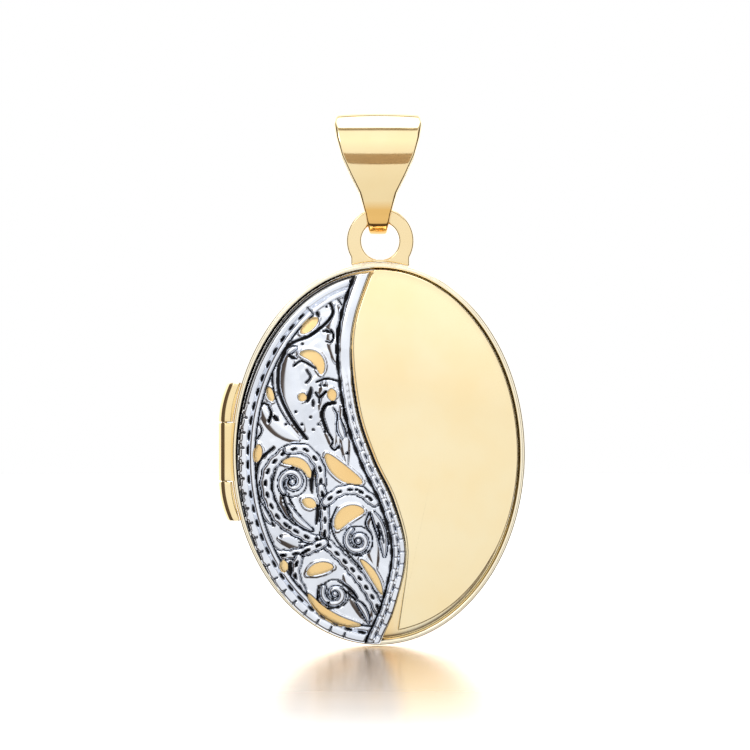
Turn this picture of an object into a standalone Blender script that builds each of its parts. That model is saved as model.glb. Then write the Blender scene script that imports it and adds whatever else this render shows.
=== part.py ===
"""Oval hinged locket with a folded bail, a pierced filigree overlay and two photo recesses.

The frame is in metres with +Z up and -Y towards the front of the closed locket. The origin is
the top of the bail's opening, where a chain bears. Lengths below are written in millimetres.
"""

import math

import bmesh
import bpy
from mathutils import Vector

MM = 0.001

# How finely round shapes are divided.
OVAL_STEPS = 64
ARC_STEPS = 36
CURVE_STEPS = 3
OPENING_STEPS = 10
KNUCKLE_TURN_STEPS = 14
KNUCKLE_HEIGHT_STEPS = 6
PIN_STEPS = 24
BEAD_STEPS = 16
LOOP_STEPS = 48
SHARP_DEGREES = 35

# Case: two oval halves that meet at the plane y = 0.
CASE_Z = -18.56
BACK_OVAL = (8.20, 10.67)
FRONT_OVAL = (8.05, 10.52)
RIM_BORE = (7.77, 10.24)
RIM_FACE_GAP = 0.02
RIM_DEPTH = 0.85
RIM_CHAMFER = 0.12
SOLDER_GAP = 0.02

# Domed covers: y grows from the edge to the crown as 1 - radius ** DOME_POWER.
COVER_OVAL = (RIM_BORE[0] - SOLDER_GAP, RIM_BORE[1] - SOLDER_GAP)
COVER_INNER_Y = 0.50
COVER_SHEET = 0.30
DOME_RISE = 1.15
DOME_POWER = 2.6
DOME_RINGS = (0.15, 0.40, 0.60, 0.76, 0.89, 1.0)
FLAT_RADIUS = 0.36

# Raised work on the front cover.
PANEL_SHEET = 0.28
FILIGREE_SHEET = 0.42
FILIGREE_OVAL = (7.80, 10.32)
FILIGREE_Z = -18.78
FILIGREE_ARC = (-91, -266)
OVERLAY_EDGE = 1.04
OVERLAY_CUT_Y = (-4.0, 0.0)
BORDER = (
    (-0.39, -8.40),
    (-1.23, -10.89),
    (-1.45, -13.00),
    (-1.04, -16.19),
    (-0.18, -18.78),
    (0.91, -21.11),
    (1.57, -24.00),
    (0.99, -26.98),
    (0.11, -29.08),
)
PANEL_GAP = 0.08
PANEL_EDGE_Z = (-24.3, -9.6)
PANEL_FOOT = (1.56, -25.33)
PANEL_LOWER_OVAL = (7.75, 9.88)
PANEL_ARC = (-81.8, 89)
# Openings in the filigree: centre x, centre z, half length, half width, angle in degrees.
OPENINGS = (
    (-3.83, -11.44, 0.55, 0.30, 35),
    (-3.39, -13.22, 0.60, 0.22, 100),
    (-6.03, -15.28, 0.32, 0.20, 60),
    (-4.17, -15.28, 0.35, 0.20, 20),
    (-2.56, -15.03, 0.35, 0.20, 80),
    (-6.56, -18.44, 0.60, 0.28, 75),
    (-4.61, -18.83, 0.62, 0.20, 0),
    (-2.00, -19.44, 0.75, 0.42, 70),
    (-1.19, -21.59, 0.60, 0.20, -20),
    (-3.61, -21.22, 0.40, 0.20, 60),
    (-5.24, -24.72, 0.38, 0.22, 110),
    (-3.22, -24.72, 0.42, 0.26, 70),
    (-0.17, -25.28, 0.85, 0.20, 115),
    (-3.56, -26.50, 0.38, 0.20, 130),
    (-1.50, -27.44, 0.70, 0.20, 20),
)

# Snap bezel: a thin wall on the back half that the front rim closes over.
BEZEL_OVAL = (7.72, 10.19)
BEZEL_WALL = 0.22
BEZEL_FRONT_Y = -0.40
BEZEL_BACK_Y = 0.45
CATCH_RADIUS = 0.12
CATCH_Y = -0.17
CATCH_REACH = 0.035
CATCH_HOLE_MARGIN = 0.5

# Photo recess in each half.
FRAME_OVAL = (7.20, 9.55)
FRAME_WIDTH = 0.65
FRAME_Y = (0.44, 0.64)
WINDOW_OVAL = (6.75, 8.90)
WINDOW_Y = (0.67, 0.78)
CARD_OVAL = (6.30, 8.30)
CARD_Y = (0.81, 0.93)

# Hinge on the left edge.
HINGE_X = -8.56
HINGE_Z = -18.45
KNUCKLE_RADIUS = 0.33
MIDDLE_HALF_LENGTH = 1.62
KNUCKLE_GAP = 0.05
HINGE_HALF_LENGTH = 3.84
KNUCKLE_BEND = 0.10
TAB_Y = (0.06, 0.26)
PIN_RADIUS = 0.15
BORE_RADIUS = 0.17
PIN_HALF_LENGTH = 2.26
BORE_HALF_LENGTH = 2.30

# Hanging loop on the top of the back half.
LOOP_X = 0.12
LOOP_Z = -6.69
LOOP_HOLE = 1.055
LOOP_RADIUS = 1.87
LOOP_FOOT = 1.62
LOOP_Y = (0.05, 0.69)
LOOP_CHAMFER = 0.05

# Bail: a tapered strip folded into a closed band through the hanging loop.
SWING_Y = 0.37
SWING_Z = -5.22
EYE_RADIUS = 0.95
EYE_ANGLES = (90, 60, 30, 0, -30, -60, -90)
FRONT_LEAF = (
    (-0.76, -4.60),
    (-1.13, -3.75),
    (-1.40, -2.95),
    (-1.52, -2.10),
    (-1.38, -1.10),
    (-0.87, -0.17),
)
REAR_LEAF = (
    (0.87, -0.17),
    (1.38, -1.10),
    (1.58, -2.10),
    (1.60, -2.95),
    (1.53, -3.75),
    (1.42, -4.60),
)
APEX_SHEET = 0.44
EYE_SHEET = 0.30
BAIL_HALF_WIDTHS = (
    (-6.17, 0.50),
    (-5.22, 0.70),
    (-4.00, 1.06),
    (-3.00, 1.56),
    (-2.00, 2.02),
    (-1.00, 2.30),
    (-0.20, 2.44),
    (0.44, 2.32),
)
BAIL_CROWN = 0.10

YELLOW_GOLD = (0.86, 0.62, 0.27, 1.0)
WHITE_GOLD = (0.80, 0.82, 0.84, 1.0)
CLEAR = (0.90, 0.93, 0.95, 0.30)
CARD_WHITE = (0.86, 0.84, 0.79, 1.0)
PIN_GOLD = (0.80, 0.66, 0.42, 1.0)


def clear_scene():
    for thing in list(bpy.data.objects):
        bpy.data.objects.remove(thing, do_unlink=True)


def make_material(name, colour, roughness, metallic):
    material = bpy.data.materials.new(name)
    material.use_nodes = True
    shader = material.node_tree.nodes["Principled BSDF"]
    shader.inputs["Base Color"].default_value = colour
    shader.inputs["Alpha"].default_value = colour[3]
    shader.inputs["Roughness"].default_value = roughness
    shader.inputs["Metallic"].default_value = metallic
    return material


def yellow_gold(name, roughness=0.12):
    return make_material(name, YELLOW_GOLD, roughness, 1.0)


def add_axis(name, x, y, z, parent=None):
    """An empty on a joint's axis, which the pieces that turn with it hang from."""
    empty = bpy.data.objects.new(name, None)
    empty.location = Vector((x, y, z)) * MM
    if parent:
        empty.parent = parent
        empty.location -= parent.location
    bpy.context.collection.objects.link(empty)
    return empty


def world_place(empty):
    place = Vector(empty.location)
    if empty.parent:
        place += empty.parent.location
    return place


def add_solid(name, verts, faces, material=None, parent=None):
    """Make an object from points in millimetres, closed and with its faces pointing out."""
    mesh = bpy.data.meshes.new(name)
    mesh.from_pydata([Vector(v) * MM for v in verts], [], faces)
    shape = bmesh.new()
    shape.from_mesh(mesh)
    bmesh.ops.recalc_face_normals(shape, faces=shape.faces)
    shape.to_mesh(mesh)
    shape.free()
    mesh.shade_smooth()
    mesh.set_sharp_from_angle(angle=math.radians(SHARP_DEGREES))
    piece = bpy.data.objects.new(name, mesh)
    if material:
        mesh.materials.append(material)
    if parent:
        piece.parent = parent
        piece.location = -world_place(parent)
    bpy.context.collection.objects.link(piece)
    return piece


def add_cutter(name, verts, faces):
    cutter = add_solid(name, verts, faces)
    cutter.hide_render = True
    cutter.display_type = "WIRE"
    return cutter


def cut(piece, cutter, operation="DIFFERENCE"):
    modifier = piece.modifiers.new(cutter.name, "BOOLEAN")
    modifier.operation = operation
    modifier.object = cutter


def loft(rings, closed=False):
    """Skin a list of equal rings of points, and cap the ends unless the rings close on themselves."""
    count = len(rings[0])
    verts = [v for ring in rings for v in ring]
    faces = []
    for i in range(len(rings) if closed else len(rings) - 1):
        start = i * count
        nxt = (i + 1) % len(rings) * count
        for j in range(count):
            k = (j + 1) % count
            faces.append((start + j, start + k, nxt + k, nxt + j))
    if not closed:
        faces.append(tuple(range(count)))
        faces.append(tuple(range(len(verts) - count, len(verts))))
    return verts, faces


def oval(half_width, half_height, y, centre_z=CASE_Z, steps=OVAL_STEPS):
    angles = (math.tau * i / steps for i in range(steps))
    return [(half_width * math.cos(a), y, centre_z + half_height * math.sin(a)) for a in angles]


def inset(size, amount):
    return (size[0] - amount, size[1] - amount)


def prism(outline, y_low, y_high):
    """Extrude an outline of (x, z) points along Y."""
    return loft([[(x, y_low, z) for x, z in outline], [(x, y_high, z) for x, z in outline]])


def join(shapes):
    verts, faces = [], []
    for more_verts, more_faces in shapes:
        faces += [tuple(i + len(verts) for i in face) for face in more_faces]
        verts += more_verts
    return verts, faces


def smooth_curve(points, steps, closed=False):
    """Catmull-Rom curve through 2-D points, with steps samples between each two."""
    count = len(points)
    samples = []
    for i in range(count if closed else count - 1):
        if closed:
            near = [points[(i + k) % count] for k in (-1, 0, 1, 2)]
        else:
            near = [points[min(max(i + k, 0), count - 1)] for k in (-1, 0, 1, 2)]
        p0, p1, p2, p3 = (Vector(p) for p in near)
        for j in range(steps):
            t = j / steps
            bend = (2 * p0 - 5 * p1 + 4 * p2 - p3) * t**2
            twist = (3 * p1 - p0 - 3 * p2 + p3) * t**3
            samples.append(0.5 * (2 * p1 + (p2 - p0) * t + bend + twist))
    if not closed:
        samples.append(Vector(points[-1]))
    return samples


def interpolate(table, at):
    for (low, a), (high, b) in zip(table, table[1:]):
        if at <= high:
            return a + (b - a) * max(0.0, at - low) / (high - low)
    return table[-1][1]


def dome(radius):
    """Height of the front dome above its edge, 1 at the crown, at a share of its radius."""
    return 1.0 - radius**DOME_POWER


def add_rim(name, size, side, parent):
    """The flat-faced ring round one half: side is -1 at the front and 1 at the back."""
    near = side * RIM_FACE_GAP
    far = side * RIM_DEPTH
    bevel = side * RIM_CHAMFER
    rings = [
        oval(*RIM_BORE, near),
        oval(*size, near),
        oval(*size, far - bevel),
        oval(*inset(size, RIM_CHAMFER), far),
        oval(*RIM_BORE, far),
    ]
    return add_solid(name, *loft(rings, closed=True), yellow_gold(name), parent)


def add_cover(name, side, rings, parent):
    """A domed sheet whose edge is soldered inside a rim."""
    inner = [(r, COVER_INNER_Y + DOME_RISE * dome(max(r, rings[0]))) for r in rings]
    outer = [(r, y + COVER_SHEET) for r, y in reversed(inner)]
    ovals = [oval(COVER_OVAL[0] * r, COVER_OVAL[1] * r, side * y) for r, y in inner + outer]
    return add_solid(name, *loft(ovals), yellow_gold(name), parent)


def overlay_sheet(thickness):
    """A sheet that follows the front dome and laps the front rim's face."""
    under = COVER_INNER_Y + COVER_SHEET + SOLDER_GAP
    lap = RIM_DEPTH + SOLDER_GAP
    sections = [(r, max(lap, under + DOME_RISE * dome(r))) for r in (*DOME_RINGS, OVERLAY_EDGE)]
    sections += [(r, y + thickness) for r, y in reversed(sections)]
    return loft([oval(COVER_OVAL[0] * r, COVER_OVAL[1] * r, -y) for r, y in sections])


def arc_points(size, centre_z, start, end):
    """Points on an oval from one angle to another, in degrees."""
    angles = [math.radians(start + (end - start) * i / ARC_STEPS) for i in range(ARC_STEPS + 1)]
    return [(size[0] * math.cos(a), centre_z + size[1] * math.sin(a)) for a in angles]


def add_filigree(parent):
    name = "filigree_panel"
    material = make_material(name, WHITE_GOLD, 0.15, 1.0)
    piece = add_solid(name, *overlay_sheet(FILIGREE_SHEET), material, parent)
    border = [(p.x, p.y) for p in smooth_curve(BORDER, CURVE_STEPS)]
    outline = border + arc_points(FILIGREE_OVAL, FILIGREE_Z, *FILIGREE_ARC)
    cut(piece, add_cutter("filigree_outline", *prism(outline, *OVERLAY_CUT_Y)), "INTERSECT")
    holes = []
    for x, z, length, width, angle in OPENINGS:
        turn = math.radians(angle)
        ring = []
        for i in range(OPENING_STEPS):
            a = math.tau * i / OPENING_STEPS
            along, across = length * math.cos(a), width * math.sin(a)
            dx = along * math.cos(turn) - across * math.sin(turn)
            dz = along * math.sin(turn) + across * math.cos(turn)
            ring.append((x + dx, z + dz))
        holes.append(prism(ring, *OVERLAY_CUT_Y))
    cut(piece, add_cutter("filigree_openings", *join(holes)))


def add_plain_panel(parent):
    name = "plain_panel"
    piece = add_solid(name, *overlay_sheet(PANEL_SHEET), yellow_gold(name), parent)
    low, high = PANEL_EDGE_Z
    edge = [p for p in smooth_curve(BORDER, CURVE_STEPS) if low < p.y < high]
    outline = [(p.x + PANEL_GAP, p.y) for p in edge] + [PANEL_FOOT]
    outline += arc_points(PANEL_LOWER_OVAL, CASE_Z, PANEL_ARC[0], 0)
    outline += arc_points(COVER_OVAL, CASE_Z, 0, PANEL_ARC[1])[1:]
    cut(piece, add_cutter("panel_outline", *prism(outline, *OVERLAY_CUT_Y)), "INTERSECT")


def add_bezel(parent):
    name = "snap_bezel"
    inner = inset(BEZEL_OVAL, BEZEL_WALL)
    rings = [
        oval(*inner, BEZEL_FRONT_Y),
        oval(*BEZEL_OVAL, BEZEL_FRONT_Y),
        oval(*BEZEL_OVAL, BEZEL_BACK_Y),
        oval(*inner, BEZEL_BACK_Y),
    ]
    piece = add_solid(name, *loft(rings, closed=True), yellow_gold(name), parent)
    ends = (inner[0] - CATCH_HOLE_MARGIN, BEZEL_OVAL[0] + CATCH_HOLE_MARGIN)
    hole = rod_along_x((x, CATCH_RADIUS + SOLDER_GAP) for x in ends)
    cut(piece, add_cutter("catch_hole", *hole))


def rod_along_x(stations):
    """A round rod through the bezel's right side, from its stations of (x, radius)."""
    turns = [math.tau * i / BEAD_STEPS for i in range(BEAD_STEPS)]
    rings = []
    for x, r in stations:
        rings.append([(x, CATCH_Y + r * math.cos(a), CASE_Z + r * math.sin(a)) for a in turns])
    return loft(rings)


def add_catch(parent):
    name = "catch_bead"
    low = BEZEL_OVAL[0] - BEZEL_WALL - SOLDER_GAP
    high = BEZEL_OVAL[0] + CATCH_REACH
    tip_radius = CATCH_RADIUS - 2 * CATCH_REACH
    rod = rod_along_x(((low, CATCH_RADIUS), (BEZEL_OVAL[0], CATCH_RADIUS), (high, tip_radius)))
    add_solid(name, *rod, yellow_gold(name), parent)


def add_photo_parts(half, side, parent):
    """The frame, clear window and card that fill one half's recess."""
    inner = inset(FRAME_OVAL, FRAME_WIDTH)
    near, far = (side * y for y in FRAME_Y)
    rings = [oval(*inner, near), oval(*FRAME_OVAL, near), oval(*FRAME_OVAL, far), oval(*inner, far)]
    name = half + "_photo_frame"
    add_solid(name, *loft(rings, closed=True), yellow_gold(name), parent)
    sheets = (
        ("window", WINDOW_OVAL, WINDOW_Y, CLEAR, 0.05),
        ("card", CARD_OVAL, CARD_Y, CARD_WHITE, 0.85),
    )
    for kind, size, depth, colour, roughness in sheets:
        name = half + "_photo_" + kind
        material = make_material(name, colour, roughness, 0.0)
        add_solid(name, *loft([oval(*size, side * y) for y in depth]), material, parent)


def knuckle_section(height, side, reach_oval):
    """Outline of a knuckle with its tab at one height: a round that runs out to a rim."""
    from_middle = max(0.0, abs(height - HINGE_Z) - MIDDLE_HALF_LENGTH)
    centre = HINGE_X + KNUCKLE_BEND * from_middle**2
    drop = (height - CASE_Z) / reach_oval[1]
    rim = -reach_oval[0] * math.sqrt(1.0 - drop**2) - SOLDER_GAP
    start, end = (math.asin(y / KNUCKLE_RADIUS) for y in reversed(TAB_Y))
    outline = [(rim, TAB_Y[0]), (rim, TAB_Y[1])]
    for i in range(KNUCKLE_TURN_STEPS + 1):
        a = start + (math.tau + end - start) * i / KNUCKLE_TURN_STEPS
        outline.append((centre + KNUCKLE_RADIUS * math.cos(a), KNUCKLE_RADIUS * math.sin(a)))
    return [(x, side * y, height) for x, y in outline]


def add_knuckle(name, low, high, side, reach_oval, parent):
    steps = KNUCKLE_HEIGHT_STEPS
    heights = [low + (high - low) * i / steps for i in range(steps + 1)]
    rings = [knuckle_section(height, side, reach_oval) for height in heights]
    return add_solid(name, *loft(rings), yellow_gold(name), parent)


def rod_along_z(radius, half_length):
    turns = [math.tau * i / PIN_STEPS for i in range(PIN_STEPS)]
    rings = []
    for z in (HINGE_Z - half_length, HINGE_Z + half_length):
        rings.append([(HINGE_X + radius * math.cos(a), radius * math.sin(a), z) for a in turns])
    return loft(rings)


def add_hinge(back_half, front_half):
    inner = MIDDLE_HALF_LENGTH + KNUCKLE_GAP
    outer = HINGE_HALF_LENGTH
    middle = MIDDLE_HALF_LENGTH
    knuckles = (
        ("upper", inner, outer, 1, BACK_OVAL, back_half),
        ("lower", -outer, -inner, 1, BACK_OVAL, back_half),
        ("middle", -middle, middle, -1, FRONT_OVAL, front_half),
    )
    bore = add_cutter("hinge_bore", *rod_along_z(BORE_RADIUS, BORE_HALF_LENGTH))
    for place, low, high, side, reach_oval, parent in knuckles:
        name = "hinge_knuckle_" + place
        cut(add_knuckle(name, HINGE_Z + low, HINGE_Z + high, side, reach_oval, parent), bore)
    name = "hinge_pin"
    pin = rod_along_z(PIN_RADIUS, PIN_HALF_LENGTH)
    add_solid(name, *pin, make_material(name, PIN_GOLD, 0.25, 1.0), back_half)


def loop_reach(angle):
    """Distance from the loop's centre to its outline: a round head on a foot that meets the oval."""
    dx, dz = math.cos(angle), math.sin(angle)
    reach = LOOP_RADIUS
    if dz < 0:
        if abs(dx) < LOOP_FOOT / LOOP_RADIUS:
            reach = LOOP_FOOT / max(abs(dx), 1e-6)
        wide, tall = BACK_OVAL[0] + SOLDER_GAP, BACK_OVAL[1] + SOLDER_GAP
        above = LOOP_Z - CASE_Z
        a = (dx / wide) ** 2 + (dz / tall) ** 2
        b = 2 * (LOOP_X * dx / wide**2 + above * dz / tall**2)
        c = (LOOP_X / wide) ** 2 + (above / tall) ** 2 - 1
        inside = b * b - 4 * a * c
        if inside > 0:
            reach = min(reach, (-b - math.sqrt(inside)) / (2 * a))
    return reach


def add_hanging_loop(parent):
    name = "hanging_loop"
    front, back = LOOP_Y
    c = LOOP_CHAMFER
    rings = []
    for i in range(LOOP_STEPS):
        angle = math.tau * (i + 0.5) / LOOP_STEPS
        far = loop_reach(angle)
        section = (
            (LOOP_HOLE, front + c),
            (LOOP_HOLE + c, front),
            (far - c, front),
            (far, front + c),
            (far, back - c),
            (far - c, back),
            (LOOP_HOLE + c, back),
            (LOOP_HOLE, back - c),
        )
        c_angle, s_angle = math.cos(angle), math.sin(angle)
        rings.append([(LOOP_X + r * c_angle, y, LOOP_Z + r * s_angle) for r, y in section])
    return add_solid(name, *loft(rings, closed=True), yellow_gold(name), parent)


def bail_path():
    """Side view of the bail's middle line as (y, z): a round eye, two leaves and the apex."""
    eye = []
    for degrees in EYE_ANGLES:
        a = math.radians(degrees)
        eye.append((SWING_Y + EYE_RADIUS * math.sin(a), SWING_Z - EYE_RADIUS * math.cos(a)))
    path = eye + list(FRONT_LEAF) + [(0.0, APEX_SHEET / 2)] + list(REAR_LEAF)
    return smooth_curve(path, CURVE_STEPS, closed=True)


def add_bail():
    name = "bail"
    path = bail_path()
    rings = []
    for i, point in enumerate(path):
        along = (path[(i + 1) % len(path)] - path[i - 1]).normalized()
        out_y, out_z = -along.y, along.x
        half_width = interpolate(BAIL_HALF_WIDTHS, point.y)
        share = (point.y - SWING_Z) / (APEX_SHEET / 2 - SWING_Z)
        sheet = EYE_SHEET + (APEX_SHEET - EYE_SHEET) * min(max(share, 0.0), 1.0)
        crown = BAIL_CROWN * half_width / BAIL_HALF_WIDTHS[-2][1]
        section = []
        for face, across in ((0.5, (-1, -0.5, 0, 0.5, 1)), (-0.5, (1, 0.5, 0, -0.5, -1))):
            for u in across:
                lift = face * sheet - crown * u * u
                section.append((half_width * u, point.x + out_y * lift, point.y + out_z * lift))
        rings.append(section)
    return add_solid(name, *loft(rings, closed=True), yellow_gold(name))


def build():
    clear_scene()
    swing = add_axis("bail_swing_axis", 0.0, SWING_Y, SWING_Z)
    hinge = add_axis("cover_hinge_axis", HINGE_X, 0.0, HINGE_Z, swing)
    add_bail()
    add_hanging_loop(swing)
    add_rim("back_rim", BACK_OVAL, 1, swing)
    add_cover("back_cover", 1, (FLAT_RADIUS, *DOME_RINGS[1:]), swing)
    add_bezel(swing)
    add_catch(swing)
    add_photo_parts("back", 1, swing)
    add_rim("front_rim", FRONT_OVAL, -1, hinge)
    add_cover("front_cover", -1, DOME_RINGS, hinge)
    add_plain_panel(hinge)
    add_filigree(hinge)
    add_photo_parts("front", -1, hinge)
    add_hinge(swing, hinge)


build()
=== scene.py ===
import math

import bmesh
import bpy
import numpy as np
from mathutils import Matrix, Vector


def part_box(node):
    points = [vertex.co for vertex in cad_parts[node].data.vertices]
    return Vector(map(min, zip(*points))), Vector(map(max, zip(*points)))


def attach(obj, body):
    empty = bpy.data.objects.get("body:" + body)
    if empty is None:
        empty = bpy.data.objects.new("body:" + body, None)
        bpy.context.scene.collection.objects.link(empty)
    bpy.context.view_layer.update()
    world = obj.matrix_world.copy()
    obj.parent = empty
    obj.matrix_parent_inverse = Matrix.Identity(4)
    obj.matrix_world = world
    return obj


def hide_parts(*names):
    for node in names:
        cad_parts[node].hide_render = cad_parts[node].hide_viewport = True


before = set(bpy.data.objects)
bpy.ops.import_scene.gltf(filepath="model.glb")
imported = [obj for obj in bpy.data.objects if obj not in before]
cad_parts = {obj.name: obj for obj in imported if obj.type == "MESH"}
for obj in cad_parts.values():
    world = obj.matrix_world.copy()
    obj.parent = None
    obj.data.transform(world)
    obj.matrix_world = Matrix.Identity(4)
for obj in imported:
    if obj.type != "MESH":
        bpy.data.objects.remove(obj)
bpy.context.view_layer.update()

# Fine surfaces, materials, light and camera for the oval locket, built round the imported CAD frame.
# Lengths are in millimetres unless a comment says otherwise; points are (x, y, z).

MM = 0.001

# How finely round shapes are divided.
OVAL_STEPS = 240
COVER_STEPS = 192
DOME_STEPS = 36
BORDER_STEPS = 24
LINE_STEPS = 14
LOOP_STEPS = 192
TURNED_STEPS = 32
KNUCKLE_STEPS = 14
BAIL_STEPS = 10
STRIP_STEPS = 19


def box_mm(node):
    low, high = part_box(node)
    return np.array(low) / MM, np.array(high) / MM


def half_sizes(node):
    low, high = box_mm(node)
    return (high[0] - low[0]) / 2, (high[2] - low[2]) / 2


def depth_range(node):
    """Nearest and furthest distance of a node from the plane where the case opens."""
    low, high = box_mm(node)
    return sorted((abs(low[1]), abs(high[1])))


# Case
CASE_Z = float(sum(box_mm("back_rim")[i][2] for i in (0, 1)) / 2)
BACK_OVAL = half_sizes("back_rim")
FRONT_OVAL = half_sizes("front_rim")
COVER_OVAL = half_sizes("front_cover")
SOLDER_GAP = 0.02
RIM_LAP = depth_range("front_rim")[1] + SOLDER_GAP
RIM_ROUND = 0.06
RIM_FLAT = 0.13
RIM_GROOVE = 0.14
BACK_RIM_ROUND = 0.13
# How dark the painted shade in the groove and along the cover's edge is round the case: angle in
# degrees from the right, share.
GROOVE_SHADE = (
    (-180, 0.97),
    (-115, 0.80),
    (-92, 0.10),
    (-35, 0.10),
    (-5, 0.60),
    (60, 0.66),
    (80, 0.30),
    (92, 0.40),
    (105, 0.95),
    (180, 0.97),
)
# Where that painted shade starts inside the front rim and near the front cover's edge, and over what
# length it deepens: millimetres for the groove, shares of the oval for the cover.
GROOVE_START = 0.9 * RIM_FLAT
GROOVE_FADE = 0.06
COVER_SHADE_START = 0.955
COVER_SHADE_FADE = 0.02
COVER_INNER_Y = 0.50
COVER_SHEET = 0.30
COVER_ROUND = 0.06
DOME_START = 0.03
DOME_RISE = 1.15
DOME_POWER = 2.6
FLAT_RADIUS = 0.36

# Raised work on the front
PANEL_SHEET = 0.28
PANEL_ROUND = 0.08
PANEL_UNDER_LIFT = 0.6
PANEL_INNERMOST = 0.06
PANEL_CENTRE = (3.2, -18.5)
PANEL_EDGE_Z = (-24.3, -8.7)
PANEL_FOOT = (1.56, -25.33)
PANEL_GAP = 0.08
PANEL_LOWER_OVAL = (COVER_OVAL[0], 9.88)
PANEL_ARC = (-81.8, 91.5)
FILIGREE_SHEET = 0.42
FILIGREE_OVAL = (7.80, 10.32)
FILIGREE_Z = -18.78
FILIGREE_ARC = (-91, -266)
BORDER = (
    (-0.39, -8.40),
    (-1.23, -10.89),
    (-1.45, -13.00),
    (-1.04, -16.19),
    (-0.18, -18.78),
    (0.91, -21.11),
    (1.57, -24.00),
    (0.99, -26.98),
    (0.11, -29.08),
)

# Inside
BEZEL_WALL = 0.22
BEZEL_ROUND = 0.07
TURNED_ROUND = 0.05
FRAME_WIDTH = 0.65
FRAME_SLOPE = 0.55
FRAME_BEVEL = 0.10
FRAME_ROUND = 0.05
SHEET_RIM = 0.9

# Hinge, hanging loop and bail
HINGE_X = -8.56
HINGE_Z = -18.45
KNUCKLE_RADIUS = 0.33
KNUCKLE_FLAT = 0.30
KNUCKLE_BEND = 0.10
KNUCKLE_EASE = 0.07
KNUCKLE_ROUND = 0.035
MIDDLE_HALF_LENGTH = 1.62
TAB_Y = (0.06, 0.26)
BORE_RADIUS = 0.17
BORE_HALF_LENGTH = 2.30
LOOP_RADIUS = half_sizes("hanging_loop")[0]
LOOP_X = float(box_mm("hanging_loop")[1][0]) - LOOP_RADIUS
LOOP_Z = float(box_mm("hanging_loop")[1][2]) - LOOP_RADIUS
LOOP_HOLE = 1.055
LOOP_FOOT = 1.62
LOOP_ROUND = 0.13
SWING_Y = 0.37
SWING_Z = -5.22
EYE_RADIUS = 0.95
FRONT_LEAF = (
    (-0.76, -4.60),
    (-1.13, -3.75),
    (-1.40, -2.95),
    (-1.52, -2.10),
    (-1.38, -1.10),
    (-0.87, -0.17),
)
REAR_LEAF = (
    (0.87, -0.17),
    (1.38, -1.10),
    (1.58, -2.10),
    (1.60, -2.95),
    (1.53, -3.75),
    (1.42, -4.60),
)
APEX_SHEET = 0.44
EYE_SHEET = 0.30
BAIL_HALF_WIDTHS = (
    (-6.17, 0.50),
    (-5.22, 0.70),
    (-4.00, 1.06),
    (-3.00, 1.56),
    (-2.00, 2.02),
    (-1.00, 2.30),
    (-0.20, 2.44),
    (0.44, 2.32),
)
BAIL_CROWN = 0.10
BAIL_ROUND = 0.20

# Filigree relief: heights above the underside of the sheet
GRID = 0.052
# How near the metal's edge comes to a grid corner, as a share of a cell, so no face is a sliver.
CORNER_MARGIN = 0.12
GROUND = 0.25
RIPPLE = 0.016
FLOOR = 0.10
STRAND_FOOT = 0.20
TOP = 0.41
EDGE_ROUND = 0.08
OUTLINE = 0.05
# How dark the painted shade is in the outlines of strands and on the walls where the metal ends.
OUTLINE_SHADE = 0.8
WALL_SHADE = 0.35
BEAD_PITCH = 0.66
PIT_RADIUS = 0.085
LIP_WIDTH = 0.20
VEINED_FROM = 0.25
LEAST_WIDTH = 1e-3
EYE = 0.17
DOT_RADIUS = 0.09
# The outer border: its width, the pitch of its nubs, and the shares of its length where they end
# and where it stops.
RIM_BAND = 0.98
RIM_PITCH = 0.86
NUBS_END = 0.62
BAND_END = 0.855
# The band along the S-shaped edge, its blocks and the dark line on its inner side.
BORDER_BAND = 0.74
BLOCK_PITCH = 0.72
BORDER_LINE = 0.16
BAND_REACH = 1.3


# Curves


def clamp(value):
    return min(max(value, 0.0), 1.0)


def smooth_curve(points, steps, closed=False):
    """Catmull-Rom curve through 2-D points, with steps samples between each two."""
    count = len(points)
    spans = count if closed else count - 1
    samples = []
    for i in range(spans):
        if closed:
            near = [points[(i + k) % count] for k in (-1, 0, 1, 2)]
        else:
            near = [points[min(max(i + k, 0), count - 1)] for k in (-1, 0, 1, 2)]
        p0, p1, p2, p3 = (np.array(p, float) for p in near)
        for j in range(steps):
            t = j / steps
            bend = (2 * p0 - 5 * p1 + 4 * p2 - p3) * t**2
            twist = (3 * p1 - p0 - 3 * p2 + p3) * t**3
            samples.append(0.5 * (2 * p1 + (p2 - p0) * t + bend + twist))
    if not closed:
        samples.append(np.array(points[-1], float))
    return np.array(samples)


def bow_curve(base, tip, bow, steps=LINE_STEPS):
    """An arc from base to tip whose middle stands out to the left of it by bow."""
    base, tip = np.array(base, float), np.array(tip, float)
    left = np.array((base[1] - tip[1], tip[0] - base[0])) / math.dist(base, tip)
    middle = (base + tip) / 2 + 2 * bow * left
    t = np.linspace(0, 1, steps + 1)[:, None]
    return (1 - t) ** 2 * base + 2 * t * (1 - t) * middle + t**2 * tip


def spiral_curve(centre, radius, turns, start, hand, core=0.12):
    """A spiral from its outer end inwards. Start is in degrees, and hand is -1 for clockwise."""
    t = np.linspace(0, 1, int(36 * turns) + 1)
    angle = math.radians(start) + hand * math.tau * turns * t
    reach = radius + (core - radius) * t
    across, up = reach * np.cos(angle), reach * np.sin(angle)
    return np.stack([centre[0] + across, centre[1] + up], axis=1)


def arc_curve(size, centre_z, start, end, steps):
    """Points on an oval from one angle to another, in degrees."""
    a = np.radians(np.linspace(start, end, steps + 1))
    return np.stack([size[0] * np.cos(a), centre_z + size[1] * np.sin(a)], axis=1)


def oval(size, y, steps=OVAL_STEPS):
    a = np.arange(steps) * math.tau / steps
    across, up = size[0] * np.cos(a), CASE_Z + size[1] * np.sin(a)
    return np.stack([across, np.full(steps, y), up], axis=1)


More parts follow.
